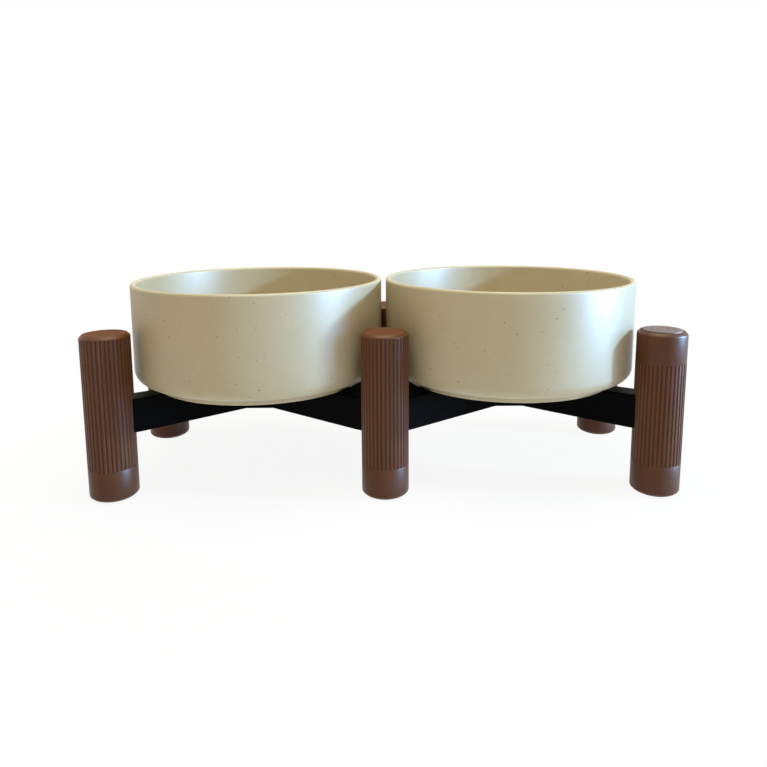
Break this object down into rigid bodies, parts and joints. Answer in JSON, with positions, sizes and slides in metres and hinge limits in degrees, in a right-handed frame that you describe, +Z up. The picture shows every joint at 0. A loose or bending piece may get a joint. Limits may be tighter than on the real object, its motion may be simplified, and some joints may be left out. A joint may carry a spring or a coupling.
{
  "type": "dog feeder stand",
  "caption": "Raised feeder: two round bowls resting on X-shaped frames between short fluted round legs with plain cups and padded feet.",
  "frame": {"origin": "on the floor, in the middle of the stand's footprint, between the two middle legs", "axes": "+X along the row of bowls, to the right as seen from the front; +Y from front to back; +Z up"},
  "size_m": [0.3542, 0.16, 0.1246],
  "materials": {
    "bowl": "fine matte cream with small dark specks",
    "frame": "black satin moulded plastic",
    "leg": "dark brown satin moulded plastic with flutes",
    "foot_cup": "dark brown satin moulded plastic, plain",
    "pad": "brown matte rubber with shallow rings"
  },
  "bodies": {
    "stand": {"left_cross_frame": "frame", "right_cross_frame": "frame", "front_left_leg": "leg", "front_left_foot": "foot_cup", "front_left_foot_pad": "pad", "front_middle_leg": "leg", "front_middle_foot": "foot_cup", "front_middle_foot_pad": "pad", "front_right_leg": "leg", "front_right_foot": "foot_cup", "front_right_foot_pad": "pad", "rear_left_leg": "leg", "rear_left_foot": "foot_cup", "rear_left_foot_pad": "pad", "rear_middle_leg": "leg", "rear_middle_foot": "foot_cup", "rear_middle_foot_pad": "pad", "rear_right_leg": "leg", "rear_right_foot": "foot_cup", "rear_right_foot_pad": "pad", "front_right_top_cup": "foot_cup", "front_right_top_pad": "pad"},
    "left_bowl_body": {"left_bowl": "bowl"},
    "right_bowl_body": {"right_bowl": "bowl"}
  },
  "joints": [
    {"name": "left_bowl_lift", "type": "slide", "parent": "stand", "child": "left_bowl_body", "axis": [0, 0, 1], "range_m": [0, 0.12]},
    {"name": "right_bowl_lift", "type": "slide", "parent": "stand", "child": "right_bowl_body", "axis": [0, 0, 1], "range_m": [0, 0.12]}
  ]
}
